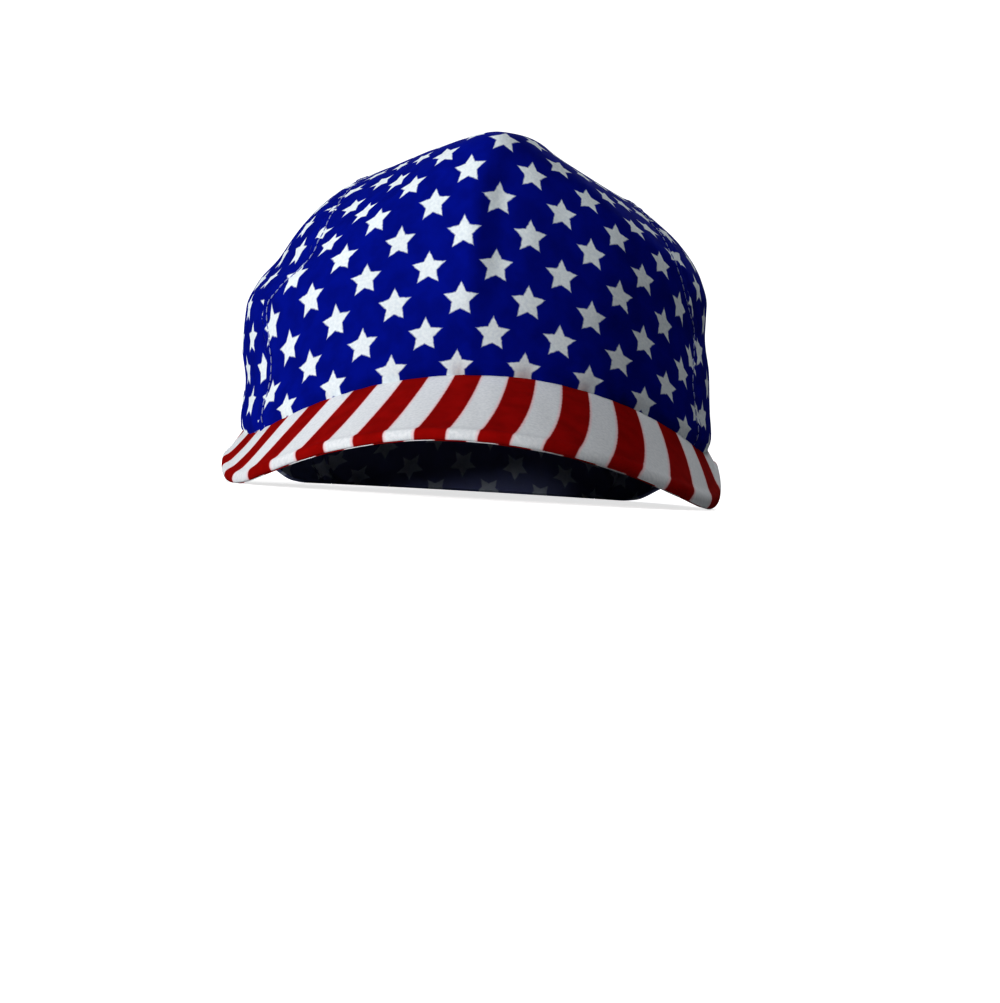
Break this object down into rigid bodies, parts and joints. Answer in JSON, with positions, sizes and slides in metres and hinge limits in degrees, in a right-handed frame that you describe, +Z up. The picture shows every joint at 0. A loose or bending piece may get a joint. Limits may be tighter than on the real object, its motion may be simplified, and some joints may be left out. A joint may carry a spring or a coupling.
{
  "type": "soft cotton cap with short bent peak",
  "caption": "Soft sewn cotton cap with a short peak bent downwards, in blue cloth printed with white stars, with a red and white striped peak",
  "frame": {"origin": "on the surface that the cap rests on, under the middle of its box", "axes": "+Z up, the peak points to -Y, +X is the right side as seen from in front"},
  "size_m": [0.1774, 0.244, 0.1256],
  "materials": {
    "star_cloth": "matt woven cotton printed with white stars",
    "stripe_cloth": "matt woven cotton printed with red and white stripes"
  },
  "bodies": {
    "root": {"middle_panel": "star_cloth", "left_side_panel": "star_cloth", "right_side_panel": "star_cloth", "peak_top": "stripe_cloth", "peak_under": "stripe_cloth"}
  },
  "joints": []
}
